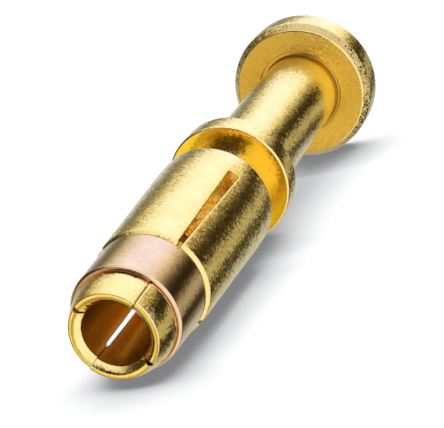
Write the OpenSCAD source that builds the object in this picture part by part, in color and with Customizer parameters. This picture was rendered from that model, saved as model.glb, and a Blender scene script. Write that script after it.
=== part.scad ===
// Crimp socket contact: a turned, gold-plated contact that grips a round pin in
// four pinched tines, with a thin split sleeve of copper seated round the tines.
// The contact stands on its rear flange; +Z runs along its axis to the mouth.

/* [Rear flange] */
// Outside diameter of the rear flange
flange_d = 5.26; // [4.8:0.02:6.5]
// Thickness of the rear flange
flange_t = 1.3; // [1.1:0.05:2.5]
// Height of the bevel round the flange's front face
flange_bevel_h = 0.3; // [0.1:0.05:0.6]
// Width of the bevel round the flange's front face
flange_bevel_w = 0.23; // [0.04:0.01:0.3]
// Chamfer on the flange's rear edge
flange_rear_chamfer = 0.06; // [0.02:0.01:0.3]
// Width of the turned relief in the flange round the neck's foot
relief_w = 0.16; // [0.1:0.01:0.4]
// Depth of the relief below the flange's front face
relief_depth = 0.12; // [0.05:0.01:0.3]
// Fillet between the relief's floor and the neck
relief_fillet = 0.06; // [0.02:0.01:0.08]

/* [Crimp neck] */
// Outside diameter of the crimp neck
neck_d = 2.86; // [2.7:0.02:3]
// Length of the crimp neck, from the flange to the collar
neck_l = 8.1; // [7:0.05:10]
// Diameter of the wire bore
wire_d = 2; // [1.2:0.05:2.3]
// Depth of the wire bore's straight wall
wire_depth = 7.6; // [4:0.1:7.7]
// Chamfer at the wire bore's entry
wire_chamfer = 0.3; // [0.1:0.05:0.5]

/* [Collar and retention groove] */
// Outside diameter of the collar
collar_d = 4.06; // [3.92:0.02:4.8]
// Thickness of the collar
collar_t = 0.9; // [0.4:0.05:1.5]
// Broken edge of the collar
collar_edge = 0.05; // [0.02:0.01:0.1]
// Fillet between the neck and the collar's back face
collar_fillet = 0.35; // [0.1:0.05:0.4]
// Diameter of the retention groove's floor
groove_d = 3.1; // [2.6:0.05:3.3]
// Width of the retention groove, from the collar to the body
groove_w = 1.45; // [0.8:0.05:2]
// Fillet between the groove's floor and the collar's front face
groove_fillet = 0.04; // [0.02:0.01:0.2]

/* [Socket body] */
// Outside diameter of the socket body
body_d = 3.8; // [3.7:0.02:3.9]
// Solid length of the body behind the slots
body_solid_l = 1.1; // [0.8:0.05:2]
// Broken edge at the body's rear end
body_edge = 0.08; // [0.02:0.01:0.12]
// Length of the tines, from the slots' root to the mouth
tine_l = 7.75; // [6.5:0.05:10]
// Chamfer on the body's front shoulder
shoulder_chamfer = 0.1; // [0.02:0.01:0.12]

/* [Slots] */
// Number of tines
tine_count = 4; // [3:1:5]
// Width of each slot at its root
slot_w = 0.36; // [0.25:0.01:0.45]
// Width of each slot under the spring ring, after the tines are pinched in
ring_slot_w = 0.13; // [0.08:0.01:0.2]
// Width of each slot along the nose, where the tines all but touch
mouth_gap = 0.02; // [0.01:0.005:0.06]

/* [Socket bore] */
// Diameter of the pin that the tines grip
pin_d = 2; // [1.8:0.05:2.1]
// Length of the contact land behind the mouth
land_l = 1.9; // [1:0.1:3]
// Chamfer that leads the pin into the mouth
lead_in = 0.17; // [0.05:0.01:0.2]
// Depth of the bore's straight wall behind the slots' root
bore_past_root = 0.5; // [0.2:0.05:0.6]
// Point angle of the drills that made both bores
drill_angle = 118; // [90:1:140]

/* [Spring ring] */
// Length of the spring ring
ring_l = 1.95; // [1:0.05:2.4]
// Wall of the spring ring
ring_wall = 0.17; // [0.1:0.01:0.2]
// Broken edge of the spring ring
ring_edge = 0.04; // [0.01:0.01:0.05]
// Diameter of the ring's seat, as turned
seat_d = 3.26; // [3.1:0.02:3.3]
// Radial clearance between the ring and its seat
ring_clearance = 0.01; // [0.005:0.005:0.03]
// Width of the gap where the ring is split
ring_gap = 0.4; // [0.2:0.05:0.8]
// End clearance between the ring and each side of its seat
ring_end_gap = 0.015; // [0.005:0.005:0.04]

/* [Nose] */
// Length of the nose, from the ring's seat to the mouth
nose_l = 0.95; // [0.7:0.05:1.4]
// Height of the lip that keeps the ring on its seat
lip_h = 0.07; // [0.03:0.01:0.1]
// Straight length of the nose in front of the ring
nose_straight = 0.15; // [0.05:0.05:0.3]
// Outside diameter of the flat rim at the mouth
rim_d = 2.62; // [2.56:0.02:2.76]

/* [Hidden] */
$fn = 96;
gold = [0.86, 0.70, 0.33];
copper = [0.74, 0.50, 0.38];
// Steps along one fillet or along the nose
arc_steps = 10;
// How far a cutting tool runs past the face that it enters
overrun = 0.5;

flange_r = flange_d / 2;
neck_r = neck_d / 2;
relief_r = neck_r + relief_w;
relief_z = flange_t - relief_depth;
wire_r = wire_d / 2;
collar_r = collar_d / 2;
collar_back_z = flange_t + neck_l;
collar_front_z = collar_back_z + collar_t;
groove_r = groove_d / 2;
body_r = body_d / 2;
body_rear_z = collar_front_z + groove_w;
root_z = body_rear_z + body_solid_l;
mouth_z = root_z + tine_l;
lip_z = mouth_z - nose_l;
shoulder_z = lip_z - ring_l - 2 * ring_end_gap;
seat_r = seat_d / 2;
nose_r = seat_r + lip_h;
rim_r = rim_d / 2;
// Closing the slots from their root width to the mouth gap draws the tines in by this much
pinch = (slot_w - mouth_gap) * tine_count / (2 * PI);
pinch_slope = pinch / tine_l;
pin_r = pin_d / 2;
drilled_r = pin_r + pinch;
land_top_z = mouth_z - lead_in;
land_end_z = land_top_z - land_l;
bore_floor_z = root_z - bore_past_root;

// Point on a tine: its radius as turned, drawn in with the height above the slots' root
function pinched(r, z) = [r - max(0, z - root_z) * pinch_slope, z];

// Points along an arc about a centre
function arc(centre, r, from, to) =
    [for (i = [0:arc_steps]) let (a = from + (to - from) * i / arc_steps) centre + r * [cos(a), sin(a)]];

// Length of a drill's point
function point_h(r) = r / tan(drill_angle / 2);

// Convex run of the nose from its straight part to the rim
function nose_curve() =
    let (start = pinched(nose_r, lip_z + nose_straight))
    [for (i = [0:arc_steps]) let (t = i / arc_steps)
        [start[0] - (start[0] - rim_r) * t * t, start[1] + (mouth_z - start[1]) * t]];

// Turned outline of the contact, from its rear face to its rim
function contact_outline() = concat(
    [[0, 0], [flange_r - flange_rear_chamfer, 0], [flange_r, flange_rear_chamfer]],
    [[flange_r, flange_t - flange_bevel_h], [flange_r - flange_bevel_w, flange_t], [relief_r, flange_t]],
    [[relief_r, relief_z]],
    arc([neck_r + relief_fillet, relief_z + relief_fillet], relief_fillet, 270, 180),
    arc([neck_r + collar_fillet, collar_back_z - collar_fillet], collar_fillet, 180, 90),
    [[collar_r - collar_edge, collar_back_z], [collar_r, collar_back_z + collar_edge]],
    [[collar_r, collar_front_z - collar_edge], [collar_r - collar_edge, collar_front_z]],
    arc([groove_r + groove_fillet, collar_front_z + groove_fillet], groove_fillet, 270, 180),
    [[groove_r, body_rear_z], [body_r - body_edge, body_rear_z], [body_r, body_rear_z + body_edge]],
    [[body_r, root_z], pinched(body_r, shoulder_z - shoulder_chamfer)],
    [pinched(body_r - shoulder_chamfer, shoulder_z), pinched(seat_r, shoulder_z)],
    [pinched(seat_r, lip_z), pinched(nose_r, lip_z)],
    nose_curve(),
    [[0, mouth_z]]
);

// Blind hole for the wire, drilled up from the rear face
module wire_bore() {
    translate([0, 0, -overrun]) cylinder(r = wire_r, h = wire_depth + overrun);
    translate([0, 0, wire_depth]) cylinder(r1 = wire_r, r2 = 0, h = point_h(wire_r));
    translate([0, 0, -overrun])
        cylinder(r1 = wire_r + wire_chamfer + overrun, r2 = wire_r, h = wire_chamfer + overrun);
}

// Blind hole for the pin, with the taper that the pinched tines give it
module socket_bore() {
    translate([0, 0, bore_floor_z - point_h(drilled_r)])
        cylinder(r1 = 0, r2 = drilled_r, h = point_h(drilled_r));
    translate([0, 0, bore_floor_z]) cylinder(r = drilled_r, h = bore_past_root);
    translate([0, 0, root_z]) cylinder(r1 = drilled_r, r2 = pin_r, h = land_end_z - root_z);
    translate([0, 0, land_end_z]) cylinder(r = pin_r, h = mouth_z + overrun - land_end_z);
    translate([0, 0, land_top_z])
        cylinder(r1 = pin_r, r2 = pin_r + lead_in + overrun, h = lead_in + overrun);
}

// One edge of a slot's outline, from the root to past the mouth: a wedge, a straight run, then nearly shut
function slot_edge(side) = [
    [side * slot_w / 2, root_z],
    [side * ring_slot_w / 2, shoulder_z],
    [side * ring_slot_w / 2, lip_z],
    [side * mouth_gap / 2, lip_z + nose_straight],
    [side * mouth_gap / 2, mouth_z + overrun]
];

// Slots between the tines, the first toward -Y
module slots() {
    near = slot_edge(-1);
    far = slot_edge(1);
    for (i = [0:tine_count - 1])
        rotate([90, 0, 360 * i / tine_count])
            linear_extrude(height = body_r + overrun)
                polygon(concat(near, [for (k = [len(far) - 1:-1:0]) far[k]]));
}

// Turned contact: flange, crimp neck, collar, groove and slotted socket in one piece
module contact_body() {
    color(gold)
        difference() {
            rotate_extrude() polygon(contact_outline());
            wire_bore();
            socket_bore();
            slots();
        }
}

// Thin split sleeve of copper sprung over the lip, with its gap over one slot
module spring_ring() {
    inner_r = seat_r + ring_clearance;
    outer_r = inner_r + ring_wall;
    rear_z = shoulder_z + ring_end_gap;
    front_z = rear_z + ring_l;
    gap_angle = 360 * floor(tine_count / 2) / tine_count;
    color(copper)
        difference() {
            rotate_extrude()
                polygon([
                    pinched(inner_r, rear_z),
                    pinched(outer_r - ring_edge, rear_z),
                    pinched(outer_r, rear_z + ring_edge),
                    pinched(outer_r, front_z - ring_edge),
                    pinched(outer_r - ring_edge, front_z),
                    pinched(inner_r, front_z)
                ]);
            rotate([90, 0, gap_angle])
                translate([-ring_gap / 2, rear_z - overrun, 0])
                    cube([ring_gap, ring_l + 2 * overrun, outer_r + overrun]);
        }
}

contact_body();
spring_ring();
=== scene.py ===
import math

import bmesh
import bpy
from mathutils import Matrix, Vector


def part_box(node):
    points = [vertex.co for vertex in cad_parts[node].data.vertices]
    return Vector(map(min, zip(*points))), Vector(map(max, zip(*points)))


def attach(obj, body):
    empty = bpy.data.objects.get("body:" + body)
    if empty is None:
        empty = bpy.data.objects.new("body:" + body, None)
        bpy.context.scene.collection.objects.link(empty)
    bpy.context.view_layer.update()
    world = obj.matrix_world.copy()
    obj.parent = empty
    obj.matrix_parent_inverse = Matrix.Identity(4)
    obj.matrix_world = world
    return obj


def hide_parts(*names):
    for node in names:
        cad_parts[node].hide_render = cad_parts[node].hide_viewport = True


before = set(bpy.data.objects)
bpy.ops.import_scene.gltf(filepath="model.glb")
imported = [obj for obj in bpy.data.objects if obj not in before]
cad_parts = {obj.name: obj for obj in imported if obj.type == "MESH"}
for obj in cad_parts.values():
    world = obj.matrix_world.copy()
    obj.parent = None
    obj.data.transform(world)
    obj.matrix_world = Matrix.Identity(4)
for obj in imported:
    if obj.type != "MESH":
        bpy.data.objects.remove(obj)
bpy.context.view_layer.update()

# Contact body
# One turned piece of copper alloy, gold plated: socket, retention groove, collar, crimp neck and flange.
# Two crossed saw cuts part the socket into four tines, which are pinched in so that each slot is a wedge.
MM = 0.001

# Rear flange and crimp neck. Sizes are in millimetres, and MM takes them to metres.
flange_r = 2.63
flange_t = 1.3
flange_bevel_h = 0.3
flange_bevel_w = 0.23
flange_rear_chamfer = 0.06
relief_w = 0.16
relief_depth = 0.12
relief_fillet = 0.06
neck_r = 1.43
neck_l = 8.1
wire_r = 1.0
wire_depth = 7.6
wire_chamfer = 0.3

# Collar and retention groove
collar_r = 2.03
collar_t = 0.9
collar_edge = 0.05
collar_fillet = 0.35
groove_r = 1.55
groove_w = 1.45

# Socket, its slots and its bore
body_r = 1.9
body_edge = 0.08
shoulder_chamfer = 0.1
tine_count = 4
tine_l = 7.75
slot_w = 0.36
ring_slot_w = 0.13
mouth_gap = 0.02
pin_r = 1.0
land_l = 1.9
lead_in = 0.17
bore_past_root = 0.5
drill_half_angle = math.radians(59)

# Seat of the spring ring, and the nose in front of it
seat_r = 1.63
ring_l = 1.95
ring_end_gap = 0.015
lip_h = 0.07
nose_l = 0.95
nose_straight = 0.15
rim_r = 1.31

# How far edges are broken back
soft_edge = 0.035
crisp_edge = 0.02
rim_edge = 0.069
slot_edge = 0.014
burr_edge = 0.028

# Heights and radii that follow from these sizes and from the mouth's height in the CAD
mouth_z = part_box("contact_body")[1][2] / MM
relief_r = neck_r + relief_w
relief_z = flange_t - relief_depth
collar_back_z = flange_t + neck_l
collar_front_z = collar_back_z + collar_t
body_rear_z = collar_front_z + groove_w
root_z = mouth_z - tine_l
lip_z = mouth_z - nose_l
nose_z = lip_z + nose_straight
shoulder_z = lip_z - ring_l - 2 * ring_end_gap
land_end_z = mouth_z - lead_in - land_l
pinch = (slot_w - mouth_gap) * tine_count / (2 * math.pi)
drilled_r = pin_r + pinch
bore_taper_r = drilled_r - pinch * (shoulder_z - root_z) / (land_end_z - root_z)

# Steps round an edge, or round a fillet where its size is at least fillet_from
fillet_from = 0.1
edge_segments = 4
fillet_segments = 10

# Points closer than this become one, and edges steeper than this stay sharp.
weld_reach = 1e-4 * MM
sharp_from = math.radians(40)


def pinched(r, z):
    """Radius of a tine's point as turned, drawn in with its height above the slots' root."""
    return r - max(0.0, z - root_z) * pinch / tine_l


def outline(bm, corners, closed=False):
    """Draw a turned piece's section in the XZ plane. Each corner is a radius, a height and its edge break."""
    points = [bm.verts.new((r * MM, 0, z * MM)) for r, z, _ in corners]
    for here, there in zip(points, points[1:] + points[: int(closed)]):
        bm.edges.new((here, there))
    for size in sorted({edge for _, _, edge in corners if edge}):
        bmesh.ops.bevel(
            bm,
            geom=[v for v, corner in zip(points, corners) if corner[2] == size],
            offset=size * MM,
            offset_type="OFFSET",
            segments=edge_segments if size < fillet_from else fillet_segments,
            profile=0.5,
            affect="VERTICES",
            material=-1,
        )


def turn(bm, columns, split=0.0):
    """Spin the section round the axis. A split angle leaves the turn open, with its gap centred on +Y."""
    if split:
        start = Matrix.Rotation((math.pi + split) / 2, 3, "Z")
        bmesh.ops.rotate(bm, cent=(0, 0, 0), matrix=start, verts=bm.verts[:])
    bmesh.ops.spin(
        bm,
        geom=bm.verts[:] + bm.edges[:],
        cent=(0, 0, 0),
        axis=(0, 0, 1),
        angle=2 * math.pi - split,
        steps=columns,
        use_merge=not split,
        use_duplicate=False,
    )
    bmesh.ops.remove_doubles(bm, verts=bm.verts[:], dist=weld_reach)
    if split:
        bmesh.ops.holes_fill(bm, edges=[e for e in bm.edges if e.is_boundary], sides=0)


def finished(bm, name):
    """Turn a bmesh into a smooth-shaded object whose flat faces stay flat."""
    bmesh.ops.recalc_face_normals(bm, faces=bm.faces[:])
    mesh = bpy.data.meshes.new(name)
    bm.to_mesh(mesh)
    bm.free()
    mesh.polygons.foreach_set("use_smooth", [True] * len(mesh.polygons))
    mesh.set_sharp_from_angle(angle=sharp_from)
    piece = bpy.data.objects.new(name, mesh)
    bpy.context.collection.objects.link(piece)
    weighted = piece.modifiers.new("flat faces", "WEIGHTED_NORMAL")
    weighted.keep_sharp = True
    return piece


# The nose curves in from its straight part to the rim.
nose_start_r = pinched(seat_r + lip_h, nose_z)
nose_steps = 14
nose = []
for step in range(nose_steps - 1, -1, -1):
    share = step / nose_steps
    nose_r = nose_start_r - (nose_start_r - rim_r) * share * share
    nose.append((nose_r, nose_z + (nose_l - nose_straight) * share, 0))

bm = bmesh.new()
outline(bm, [
    (0, root_z - bore_past_root - drilled_r / math.tan(drill_half_angle), 0),
    (drilled_r, root_z - bore_past_root, crisp_edge),
    (drilled_r, root_z, 0),
    (bore_taper_r, shoulder_z, 0),
    (pin_r, land_end_z, 0),
    (pin_r, lip_z, 0),
    (pin_r, nose_z, 0),
    (pin_r, mouth_z - lead_in, crisp_edge),
    (pin_r + lead_in, mouth_z, rim_edge),
    (rim_r, mouth_z, rim_edge),
    *nose,
    (pinched(seat_r + lip_h, lip_z), lip_z, crisp_edge),
    (pinched(seat_r, lip_z), lip_z, 0),
    (pinched(seat_r, shoulder_z), shoulder_z, 0),
    (pinched(body_r - shoulder_chamfer, shoulder_z), shoulder_z, crisp_edge),
    (pinched(body_r, shoulder_z - shoulder_chamfer), shoulder_z - shoulder_chamfer, crisp_edge),
    (body_r, root_z, 0),
    (body_r, body_rear_z + body_edge, soft_edge),
    (body_r - body_edge, body_rear_z, crisp_edge),
    (groove_r, body_rear_z, soft_edge),
    (groove_r, collar_front_z, 0),
    (collar_r - collar_edge, collar_front_z, crisp_edge),
    (collar_r, collar_front_z - collar_edge, crisp_edge),
    (collar_r, collar_back_z + collar_edge, crisp_edge),
    (collar_r - collar_edge, collar_back_z, crisp_edge),
    (neck_r, collar_back_z, collar_fillet),
    (neck_r, relief_z, relief_fillet),
    (relief_r, relief_z, 0),
    (relief_r, flange_t, crisp_edge),
    (flange_r - flange_bevel_w, flange_t, soft_edge),
    (flange_r, flange_t - flange_bevel_h, soft_edge),
    (flange_r, flange_rear_chamfer, soft_edge),
    (flange_r - flange_rear_chamfer, 0, soft_edge),
    (wire_r + wire_chamfer, 0, soft_edge),
    (wire_r, wire_chamfer, soft_edge),
    (wire_r, wire_depth, crisp_edge),
    (0, wire_depth + wire_r / math.tan(drill_half_angle), 0),
])
tine_columns = 44
columns = tine_count * (tine_columns + 1)
turn(bm, columns)

# Each tine takes tine_columns of the spun columns, and the column left between two tines is the slot.
# The tines are bent in by hand, so each stands a little out of true, and two slots end in worn corners.
# A hair is the slack in comparing heights and radii.
tine_angle = 2 * math.pi / tine_count
tine_set = (-0.07, -0.03, 0.0, -0.05)
worn_corner = 0.14
hair = 0.001


def slot_width(z):
    """Width of a slot at a height: a wedge up to the ring, straight under it, nearly shut along the nose."""
    heights = (root_z, shoulder_z, lip_z, nose_z, mouth_z)
    widths = (slot_w, ring_slot_w, ring_slot_w, mouth_gap, mouth_gap)
    for low, high, wide, narrow in zip(heights, heights[1:], widths, widths[1:]):
        if z < high:
            return wide + (narrow - wide) * max(0.0, z - low) / (high - low)
    return mouth_gap


def half_slot(number, z):
    """Half the width of a numbered slot at a height. The even ones are worn wider at the mouth."""
    near_mouth = max(0.0, 1 - (mouth_z - z) / worn_corner)
    wear = worn_corner * (1 - math.sqrt(1 - near_mouth ** 2)) / 2
    return slot_width(z) / 2 + (wear if number % 2 == 0 else 0)


for v in bm.verts:
    r, z = math.hypot(v.co.x, v.co.y) / MM, v.co.z / MM
    if r < hair:
        continue
    column = round(math.atan2(v.co.y, v.co.x) / (2 * math.pi) * columns) % columns
    tine, step = divmod(column, tine_columns + 1)
    if z < root_z - hair:
        insets = [math.pi / columns] * 2
    else:
        insets = [math.asin(half_slot(number, z) / r) for number in (tine, tine + 1)]
        r += tine_set[tine] * (z - root_z) / tine_l
    angle = tine * tine_angle + insets[0] + (tine_angle - sum(insets)) * step / tine_columns
    v.co.x, v.co.y = r * math.cos(angle) * MM, r * math.sin(angle) * MM

# The column in each slot is cut away, then the slot's root gets a floor and its sides get walls.
slot_bearings = [number * tine_angle for number in range(tine_count)]
slot_aim = math.radians(0.2)


def in_line(point, bearing):
    """Whether a point lies at a bearing about the axis."""
    return abs(math.remainder(math.atan2(point.y, point.x) - bearing, 2 * math.pi)) < slot_aim


in_slot = []
for face in bm.faces:
    centre = face.calc_center_median()
    above_root = all(v.co.z > (root_z - hair) * MM for v in face.verts)
    if above_root and any(in_line(centre, bearing) for bearing in slot_bearings):
        in_slot.append(face)
bmesh.ops.delete(bm, geom=in_slot, context="FACES")
root_edges = [e for e in bm.edges if e.is_boundary and all(v.co.z < (root_z + hair) * MM for v in e.verts)]
for bearing in slot_bearings:
    pair = [e for e in root_edges if in_line((e.verts[0].co + e.verts[1].co) / 2, bearing)]
    bmesh.ops.contextual_create(bm, geom=pair)
bmesh.ops.holes_fill(bm, edges=[e for e in bm.edges if e.is_boundary], sides=0)
bmesh.ops.recalc_face_normals(bm, faces=bm.faces[:])

# Only a slot's wall has more corners than this.
wall_corners = 30
break_angle = math.radians(50)
break_segments = 2
break_slack = 0.02


def break_slot_edges(bm, size, least_r, most_z):
    """Round the edges of the slots' walls that lie outside a radius and below a height."""
    edges = []
    for edge in bm.edges:
        on_wall = any(len(face.verts) > wall_corners for face in edge.link_faces)
        outside = all(math.hypot(v.co.x, v.co.y) > least_r * MM for v in edge.verts)
        below = all(v.co.z < (most_z + break_slack) * MM for v in edge.verts)
        if on_wall and outside and below and edge.calc_face_angle(0) > break_angle:
            edges.append(edge)
    bmesh.ops.bevel(
        bm,
        geom=edges,
        offset=size * MM,
        offset_type="OFFSET",
        segments=break_segments,
        profile=0.5,
        affect="EDGES",
        clamp_overlap=False,
        material=-1,
    )


# The outer edges that the saw left a burr on are broken further than the rest.
break_slot_edges(bm, burr_edge, seat_r, shoulder_z - shoulder_chamfer)
break_slot_edges(bm, slot_edge, 0, mouth_z)
bmesh.ops.remove_doubles(bm, verts=bm.verts[:], dist=weld_reach)


def nearest(verts, r, z):
    """Vertex nearest to a radius and a height."""
    return min(verts, key=lambda v: math.hypot(math.hypot(v.co.x, v.co.y) - r * MM, v.co.z - z * MM))


# Each slot wall bends where the slot's width changes, from the bore across to the outside.
wall_bends = (
    (bore_taper_r, pinched(seat_r, shoulder_z), shoulder_z),
    (pin_r, pinched(seat_r, lip_z), lip_z),
    (pin_r, pinched(seat_r + lip_h, nose_z), nose_z),
)
for wall in [face for face in bm.faces if len(face.verts) > wall_corners]:
    for inner_r, outer_r, height in wall_bends:
        inner, outer = (nearest(wall.verts, r, height) for r in (inner_r, outer_r))
        bmesh.utils.face_split(wall, inner, outer)
        halves = [face for face in inner.link_faces if outer in face.verts]
        wall = max(halves, key=lambda face: face.calc_center_median().z)
contact_body = finished(bm, "contact_body_turned")
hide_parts("contact_body")
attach(contact_body, "root")

# Grain of the plating. A pit is darkest out to pit_core from its middle and ends at pit_brim.
facets_per_mm = 17.0
facet_mean = (0.5, 0.5, 0.5)
blotches_per_mm = 1.6
blotch_detail = 4.0
blotch_roughness = 0.6
pits_per_mm = 3.0
pit_core = 0.05
pit_brim = 0.11

# Blotch values between which the finish drifts from bright to dull
drift_range = (0.35, 0.68)

# Shares of a normal along the axis, between which a face comes to count as facing the mouth
lean_range = (0.9, 0.97)
flat_range = (0.975, 0.99)

# Offsets from a height or a radius at which the mask of a place starts and is full
flange_top_range = (0.03, 0.01)
flange_under_range = (-0.04, -0.02)
foot_range = (2.6, 0.5)
neck_skin_range = (0.06, 0.02)
relief_wall_range = (0.03, 0.01)
relief_floor_range = (-0.02, -0.05)
bore_skin_range = (0.02, -0.02)
land_range = (-0.8, 0.0)
collar_slack = 0.01
lead_in_slack = 0.01
bevel_slack = 0.05

# Places of a Mix node's first value and of its output, for each kind of value
mix_sockets = {"FLOAT": (2, 0), "RGBA": (6, 2)}


def material(name):
    """A new node material with its shader ready to set."""
    made = bpy.data.materials.new(name)
    made.use_nodes = True
    return made, made.node_tree, made.node_tree.nodes["Principled BSDF"]


def feed(tree, socket, value):
    """Link an output to a socket, or set the socket to a plain value."""
    if isinstance(value, bpy.types.NodeSocket):
        tree.links.new(value, socket)
    else:
        socket.default_value = value


def worked(tree, operation, *values, kind="Math"):
    """Output of a new Math or VectorMath node that works on outputs and plain values."""
    node = tree.nodes.new("ShaderNode" + kind)
    node.operation = operation
    for socket, value in zip(node.inputs, values):
        feed(tree, socket, value)
    return node.outputs[0]


def mapped(tree, value, low, high, start=0.0, end=1.0):
    """Take a value that runs from low to high onto start to end, and no further."""
    node = tree.nodes.new("ShaderNodeMapRange")
    for name, setting in zip(("From Min", "From Max", "To Min", "To Max"), (low, high, start, end)):
        node.inputs[name].default_value = setting
    tree.links.new(value, node.inputs["Value"])
    return node.outputs[0]


def blended(tree, kind, factor, first, second):
    """Mix two values of kind FLOAT, or two colours of kind RGBA, by a factor."""
    node = tree.nodes.new("ShaderNodeMix")
    node.data_type = kind
    start, output = mix_sockets[kind]
    feed(tree, node.inputs["Factor"], factor)
    feed(tree, node.inputs[start], first)
    feed(tree, node.inputs[start + 1], second)
    return node.outputs[output]


def grain_group():
    """Grain of a plated surface: facets that lean at random, broad blotches, and a few pits."""
    group = bpy.data.node_groups.new("plating grain", "ShaderNodeTree")
    group.interface.new_socket("Lean", in_out="INPUT", socket_type="NodeSocketFloat")
    group.interface.new_socket("Normal", in_out="OUTPUT", socket_type="NodeSocketVector")
    group.interface.new_socket("Blotch", in_out="OUTPUT", socket_type="NodeSocketFloat")
    group.interface.new_socket("Pit", in_out="OUTPUT", socket_type="NodeSocketFloat")
    nodes, links = group.nodes, group.links
    inputs, outputs = nodes.new("NodeGroupInput"), nodes.new("NodeGroupOutput")
    place = nodes.new("ShaderNodeTexCoord").outputs["Object"]
    normal = nodes.new("ShaderNodeNewGeometry").outputs["Normal"]

    facets = nodes.new("ShaderNodeTexVoronoi")
    facets.inputs["Scale"].default_value = facets_per_mm / MM
    links.new(place, facets.inputs["Vector"])
    aside = worked(group, "SUBTRACT", facets.outputs["Color"], facet_mean, kind="VectorMath")
    tilted = worked(group, "MULTIPLY_ADD", aside, inputs.outputs["Lean"], normal, kind="VectorMath")
    links.new(worked(group, "NORMALIZE", tilted, kind="VectorMath"), outputs.inputs["Normal"])

    noise = nodes.new("ShaderNodeTexNoise")
    noise.inputs["Scale"].default_value = blotches_per_mm / MM
    noise.inputs["Detail"].default_value = blotch_detail
    noise.inputs["Roughness"].default_value = blotch_roughness
    links.new(place, noise.inputs["Vector"])
    links.new(noise.outputs["Fac"], outputs.inputs["Blotch"])

    pits = nodes.new("ShaderNodeTexVoronoi")
    pits.inputs["Scale"].default_value = pits_per_mm / MM
    links.new(place, pits.inputs["Vector"])
    in_pit = mapped(group, pits.outputs["Distance"], pit_brim, pit_core)
    links.new(worked(group, "MULTIPLY", in_pit, pits.outputs["Color"]), outputs.inputs["Pit"])
    return group


def places_group():
    """How far a turned surface faces the mouth, and masks for the places that look unlike the rest, some of
    them carrying painted shade or painted reflection.
    """
    group = bpy.data.node_groups.new("turned places", "ShaderNodeTree")
    nodes, links = group.nodes, group.links
    place, normal = (nodes.new("ShaderNodeSeparateXYZ") for _ in range(2))
    links.new(nodes.new("ShaderNodeTexCoord").outputs["Object"], place.inputs[0])
    links.new(nodes.new("ShaderNodeNewGeometry").outputs["Normal"], normal.inputs[0])
    x, y, z = place.outputs
    upward = normal.outputs["Z"]
    square = worked(group, "ADD", worked(group, "MULTIPLY", x, x), worked(group, "MULTIPLY", y, y))
    radius = worked(group, "SQRT", square)

    def fade(value, level, offsets):
        """Mask that starts at one offset from a level and is full at another."""
        return mapped(group, value, *((level + offset) * MM for offset in offsets))

    flat = mapped(group, upward, *flat_range)
    at_collar = worked(group, "COMPARE", z, collar_front_z * MM, collar_slack * MM)
    on_flange = fade(z, flange_t, flange_top_range)
    flange_top = worked(group, "MULTIPLY", on_flange, fade(z, flange_t, flange_under_range))
    bevel_upward = flange_bevel_w / math.hypot(flange_bevel_w, flange_bevel_h)
    slanted = worked(group, "COMPARE", upward, bevel_upward, bevel_slack)
    low_on_neck = fade(z, flange_t, foot_range)
    at_neck = fade(radius, neck_r, neck_skin_range)
    in_relief = fade(radius, relief_r, relief_wall_range)
    below_flange = fade(z, flange_t, relief_floor_range)
    drilled = fade(radius, drilled_r, bore_skin_range)
    below_lead_in = worked(group, "LESS_THAN", z, (mouth_z - lead_in - lead_in_slack) * MM)
    bore = worked(group, "MULTIPLY", drilled, below_lead_in)
    places = {
        "Upward": upward,
        "Front": flat,
        # The collar's front face takes a deeper orange, a painted reflection of the gold body beside it
        "Collar front": worked(group, "MULTIPLY", flat, at_collar),
        # Low on the neck the gold takes a deeper yellow, a painted reflection of the flange's face
        "Neck foot": worked(group, "MULTIPLY", low_on_neck, at_neck),
        # The relief is the undercut round the neck's foot, whose darker tint is painted shade
        "Relief": worked(group, "MULTIPLY", below_flange, in_relief),
        "Bore": bore,
        "Bore near mouth": worked(group, "MULTIPLY", bore, fade(z, shoulder_z, land_range)),
        # The flange's face takes a deeper orange, a painted reflection of the gold neck, on a coarser finish
        "Flange face": worked(group, "MULTIPLY", flat, flange_top),
        "Flange bevel": worked(group, "MULTIPLY", slanted, on_flange),
    }
    for name in places:
        group.interface.new_socket(name, in_out="OUTPUT", socket_type="NodeSocketFloat")
    outputs = nodes.new("NodeGroupOutput")
    for name, value in places.items():
        links.new(value, outputs.inputs[name])
    return group


plating_grain = grain_group()
turned_places = places_group()


def plated(name, bright, dull, pitted, polish, leans, cuts):
    """Metal that drifts between two tints and polishes. A cut has its place, tint, roughness and lean; some
    of the tints are painted shade or painted reflection.
    """
    made, tree, shader = material(name)
    grain, places = (tree.nodes.new("ShaderNodeGroup") for _ in range(2))
    grain.node_tree, places.node_tree = plating_grain, turned_places
    drift = mapped(tree, grain.outputs["Blotch"], *drift_range)
    colour = blended(tree, "RGBA", drift, (*bright, 1), (*dull, 1))
    colour = blended(tree, "RGBA", grain.outputs["Pit"], colour, (*pitted, 1))
    roughness = mapped(tree, drift, 0, 1, *polish)
    lean = mapped(tree, places.outputs["Upward"], *lean_range, *leans)
    for place, tint, cut_roughness, cut_lean in cuts:
        mask = places.outputs[place]
        if tint:
            colour = blended(tree, "RGBA", mask, colour, (*tint, 1))
        if cut_roughness:
            roughness = blended(tree, "FLOAT", mask, roughness, cut_roughness)
        if cut_lean:
            lean = blended(tree, "FLOAT", mask, lean, cut_lean)
    tree.links.new(colour, shader.inputs["Base Color"])
    tree.links.new(roughness, shader.inputs["Roughness"])
    tree.links.new(lean, grain.inputs["Lean"])
    tree.links.new(grain.outputs["Normal"], shader.inputs["Normal"])
    shader.inputs["Metallic"].default_value = 1.0
    return made


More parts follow.
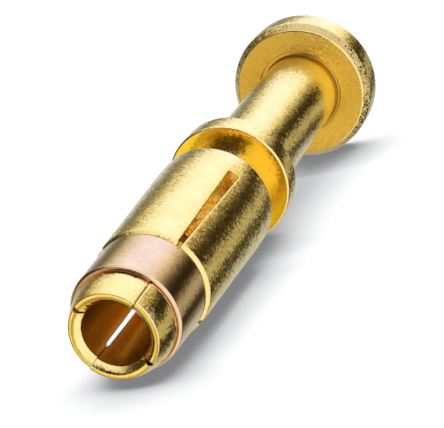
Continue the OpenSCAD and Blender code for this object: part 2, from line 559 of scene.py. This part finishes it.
gold_finish_and_painted_light = (
    # Collar front: a deeper orange, painted reflection of the gold body beside it
    ("Collar front", (1.0, 0.66, 0.07), None, None),
    # Neck foot: a deeper yellow, painted reflection of the flange's face, with less grain
    ("Neck foot", (1.0, 0.80, 0.19), 0.26, 0.04),
    # Relief: a dark brown tint, painted shade in the undercut, with a rougher finish
    ("Relief", (0.70, 0.46, 0.12), 0.3, 0.05),
    ("Bore", (1.0, 0.66, 0.15), None, 0.15),
    ("Bore near mouth", None, 0.28, 0.02),
    # Flange face: a deeper orange, painted reflection of the gold neck, on a coarser faced finish
    ("Flange face", (1.0, 0.66, 0.14), 0.46, 0.27),
    ("Flange bevel", (0.68, 0.48, 0.17), None, 0.45),
)
contact_body.data.materials.append(plated(
    "gold plating",
    bright=(1.0, 0.77, 0.30),
    dull=(0.98, 0.71, 0.22),
    pitted=(0.40, 0.25, 0.06),
    polish=(0.14, 0.20),
    leans=(0.13, 0.05),
    cuts=gold_finish_and_painted_light,
))

# Spring ring
# A thin split sleeve of bare copper alloy, sprung over the nose's lip into the seat that the tines share.
# It follows the tines' pinch, its turned edges are broken and its gap lies over the far slot.
ring_wall = 0.17
ring_clearance = 0.01
ring_edge = 0.07
ring_gap = 0.4
ring_low, ring_high = (corner[2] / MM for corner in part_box("spring_ring"))
ring_inner = seat_r + ring_clearance
ring_outer = ring_inner + ring_wall
bm = bmesh.new()
outline(bm, [
    (pinched(ring_inner, ring_low), ring_low, 0),
    (pinched(ring_outer - ring_edge, ring_low), ring_low, 0),
    (pinched(ring_outer, ring_low), ring_low + ring_edge, 0),
    (pinched(ring_outer, ring_high), ring_high - ring_edge, crisp_edge),
    (pinched(ring_outer - ring_edge, ring_high), ring_high, crisp_edge),
    (pinched(ring_inner, ring_high), ring_high, 0),
], closed=True)
turn(bm, columns, split=2 * math.asin(ring_gap / 2 / ring_inner))
spring_ring = finished(bm, "spring_ring_sleeve")
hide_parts("spring_ring")
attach(spring_ring, "root")
ring_cuts = (("Front", (0.56, 0.27, 0.19), None, None),)
spring_ring.data.materials.append(plated(
    "ring copper",
    bright=(0.88, 0.63, 0.35),
    dull=(0.79, 0.53, 0.30),
    pitted=(0.30, 0.17, 0.09),
    polish=(0.13, 0.18),
    leans=(0.05, 0.05),
    cuts=ring_cuts,
))

# Floor
# A plain white table. The contact lies on it on its flange's rim and its front shoulder, so the table
# stands nearly upright in the contact's own frame. It is clear from below.
floor_up = Vector((0.7537, -0.6552, -0.0521)).normalized()
floor_level = -2.69 * MM
floor_half = 400 * MM
table_grey = (0.22, 0.22, 0.22, 1)
table_glow = 0.8
bm = bmesh.new()
bmesh.ops.create_grid(bm, x_segments=1, y_segments=1, size=floor_half)
turn_to_floor = floor_up.to_track_quat("Z", "Y").to_matrix().to_4x4()
bmesh.ops.transform(bm, matrix=Matrix.Translation(floor_up * floor_level) @ turn_to_floor, verts=bm.verts[:])
mesh = bpy.data.meshes.new("floor")
bm.to_mesh(mesh)
bm.free()
floor = bpy.data.objects.new("floor", mesh)
bpy.context.collection.objects.link(floor)


def ramped(tree, value, stops):
    """Colour of a value on a ramp. Each stop has a position and a colour."""
    node = tree.nodes.new("ShaderNodeValToRGB")
    elements = node.color_ramp.elements
    while len(elements) < len(stops):
        elements.new(0.5)
    for element, (position, colour) in zip(elements, stops):
        element.position = position
        element.color = (*colour, 1)
    tree.links.new(value, node.inputs[0])
    return node.outputs[0]


table, tree, shader = material("white table")
nodes, links = tree.nodes, tree.links
nodes.remove(shader)
diffuse = nodes.new("ShaderNodeBsdfDiffuse")
diffuse.inputs["Color"].default_value = table_grey

# The white of the table fades close to the contact, further out beside its slim neck and past its mouth.
# How open a place is gets judged along the table's normal, leaned back toward the flange.
neck_shade_z = 3.0
neck_shade = 2.6
body_shade_z = 16.0
body_shade = 1.6
spill_from_z = 19.5
spill_to_z = 21.5
spill = 1.4
shade_lean = Vector((0, 0, 0.4))
shade_samples = 16
place = nodes.new("ShaderNodeSeparateXYZ")
links.new(nodes.new("ShaderNodeTexCoord").outputs["Object"], place.inputs[0])
along = place.outputs["Z"]
reach = mapped(tree, along, neck_shade_z * MM, body_shade_z * MM, neck_shade * MM, body_shade * MM)
past_mouth = mapped(tree, along, spill_from_z * MM, spill_to_z * MM, 0, spill * MM)
nearby = nodes.new("ShaderNodeAmbientOcclusion")
nearby.samples = shade_samples
links.new(worked(tree, "ADD", reach, past_mouth), nearby.inputs["Distance"])
toward = nodes.new("ShaderNodeCombineXYZ")
for axis, value in zip("XYZ", (floor_up - shade_lean).normalized()):
    toward.inputs[axis].default_value = value
links.new(toward.outputs[0], nearby.inputs["Normal"])

# How open the table is and its tone there. The shade turns a little cool as it darkens.
shade_tones = ((0.34, 0.080), (0.46, 0.42), (0.60, 0.66), (0.80, 0.90), (0.97, 1.0))
cool_green = 0.03
cool_blue = 0.06
shades = []
for openness, tone in shade_tones:
    dark = 1 - tone
    shades.append((openness, (tone, tone * (1 + cool_green * dark), tone * (1 + cool_blue * dark))))
glow = nodes.new("ShaderNodeEmission")
links.new(ramped(tree, nearby.outputs["AO"], shades), glow.inputs["Color"])
camera_ray = nodes.new("ShaderNodeLightPath").outputs["Is Camera Ray"]
links.new(worked(tree, "MULTIPLY", camera_ray, table_glow), glow.inputs["Strength"])
lit = nodes.new("ShaderNodeAddShader")
links.new(diffuse.outputs[0], lit.inputs[0])
links.new(glow.outputs[0], lit.inputs[1])
clear = nodes.new("ShaderNodeBsdfTransparent")
side = nodes.new("ShaderNodeMixShader")
links.new(nodes.new("ShaderNodeNewGeometry").outputs["Backfacing"], side.inputs[0])
links.new(lit.outputs[0], side.inputs[1])
links.new(clear.outputs[0], side.inputs[2])
links.new(side.outputs[0], nodes["Material Output"].inputs["Surface"])
floor.data.materials.append(table)
floor.visible_glossy = False

# Studio light
# Panels round the contact, told apart by bearing about its axis, in three zones. Behind are a cool soft box
# over the left with a dark strip past it, and black flags between pale strips on the right. Above is a ring,
# white toward the camera and dark away from it. Ahead is one with a black flag upper left and amber below.
above_range = (-0.25, 0.10)
ahead_range = (0.60, 0.72)
fill_light = (0.72, 0.72, 0.73, 1)
backdrop = (1, 1, 1, 1)
world = bpy.data.worlds.new("studio")
bpy.context.scene.world = world
world.use_nodes = True
tree = world.node_tree
nodes, links = tree.nodes, tree.links
direction = nodes.new("ShaderNodeSeparateXYZ")
links.new(nodes.new("ShaderNodeTexCoord").outputs["Generated"], direction.inputs[0])
x, y, z = direction.outputs
bearing = worked(tree, "ARCTAN2", x, worked(tree, "MULTIPLY", y, -1))
turn_share = mapped(tree, bearing, -math.pi, math.pi)

# Bearing in degrees from the camera's side, then the panel's colour
behind = (
    (-180, 0.60, 0.63, 0.60), (-156, 0.62, 0.64, 0.60), (-132, 0.58, 0.60, 0.56), (-124, 0.46, 0.47, 0.42),
    (-114, 0.22, 0.21, 0.16), (-104, 0.05, 0.04, 0.02), (-95, 0.02, 0.016, 0.008), (-88, 0.12, 0.11, 0.07),
    (-80, 0.42, 0.41, 0.31), (-72, 0.55, 0.54, 0.40), (-63, 0.46, 0.44, 0.31), (-54, 0.14, 0.12, 0.07),
    (-46, 0.03, 0.02, 0.01), (-34, 0.03, 0.022, 0.01), (-24, 0.11, 0.09, 0.05), (-18, 0.26, 0.23, 0.14),
    (-12, 0.46, 0.42, 0.28), (-4, 0.78, 0.75, 0.56), (4, 0.99, 1.02, 1.00), (12, 1.08, 1.15, 1.45),
    (22, 1.13, 1.25, 1.85), (52, 1.14, 1.26, 1.92), (68, 1.06, 1.15, 1.50), (82, 0.86, 0.90, 0.86),
    (94, 0.53, 0.53, 0.38), (108, 0.17, 0.16, 0.11), (122, 0.23, 0.23, 0.19), (142, 0.58, 0.63, 0.66),
    (158, 0.80, 0.88, 0.96),
)
above = (
    (-180, 0.40, 0.34, 0.18), (-160, 0.34, 0.27, 0.11), (-140, 0.60, 0.56, 0.42), (-120, 1.05, 1.12, 1.25),
    (-20, 1.05, 1.14, 1.45), (50, 1.05, 1.12, 1.40), (70, 0.80, 0.84, 0.85), (88, 0.16, 0.14, 0.09),
    (105, 0.05, 0.04, 0.02), (158, 0.06, 0.05, 0.03), (174, 0.40, 0.38, 0.25),
)
ahead = (
    (-180, 0.97, 0.98, 0.65), (-173, 0.72, 0.56, 0.10), (-160, 0.56, 0.43, 0.08), (-140, 0.46, 0.36, 0.07),
    (-120, 0.56, 0.50, 0.24), (-96, 1.00, 1.05, 1.10), (-48, 1.06, 1.12, 1.25), (8, 1.05, 1.10, 1.20),
    (16, 0.60, 0.58, 0.45), (28, 0.05, 0.04, 0.02), (50, 0.015, 0.012, 0.01), (100, 0.06, 0.045, 0.02),
    (118, 0.60, 0.50, 0.26), (140, 1.18, 1.15, 1.05), (160, 1.10, 0.98, 0.60), (171, 0.92, 0.78, 0.20),
)
zones = []
for panels in (behind, above, ahead):
    first_again = (180, *panels[0][1:])
    stops = [((degrees + 180) / 360, colour) for degrees, *colour in (*panels, first_again)]
    zones.append(ramped(tree, turn_share, stops))
room = blended(tree, "RGBA", mapped(tree, z, *above_range), zones[0], zones[1])
room = blended(tree, "RGBA", mapped(tree, z, *ahead_range), room, zones[2])
rays = nodes.new("ShaderNodeLightPath")
room = blended(tree, "RGBA", rays.outputs["Is Diffuse Ray"], room, fill_light)
room = blended(tree, "RGBA", rays.outputs["Is Camera Ray"], room, backdrop)
links.new(room, nodes["Background"].inputs["Color"])

# A broad lamp overhead casts the contact's soft shadow and leaves no glint on the metal.
ceiling_strength = 1.6
ceiling_spread = math.radians(64)
ceiling_from = Vector((0.87, -0.41, -0.19)).normalized()
ceiling = bpy.data.objects.new("ceiling", bpy.data.lights.new("ceiling", "SUN"))
ceiling.data.energy = ceiling_strength
ceiling.data.angle = ceiling_spread
ceiling.matrix_world = ceiling_from.to_track_quat("Z", "Y").to_matrix().to_4x4()
ceiling.visible_glossy = False
ceiling.data.cycles.use_multiple_importance_sampling = False
bpy.context.collection.objects.link(ceiling)

# The fill light on the table passes the metal by, so the gold doesn't tint the white.
for piece in (contact_body, spring_ring):
    piece.visible_diffuse = False

# Camera
# It looks down into the mouth along the contact, as the photograph does.
image_width = 444
focal_pixels = 1500
sensor_width = 36
eye = Vector((-0.968, -23.642, 52.545)) * MM
look = Vector((0.01231, 0.50373, -0.86377)).normalized()
across = Vector((-0.81326, -0.49755, -0.30175)).normalized()
camera = bpy.data.objects.new("camera", bpy.data.cameras.new("camera"))
bpy.context.collection.objects.link(camera)
camera.data.sensor_width = sensor_width
camera.data.lens = focal_pixels * sensor_width / image_width
camera.data.clip_start = MM
facing = Matrix((across, across.cross(look), -look)).transposed().to_4x4()
camera.matrix_world = Matrix.Translation(eye) @ facing
bpy.context.scene.camera = camera
bpy.context.scene.view_settings.view_transform = "Standard"
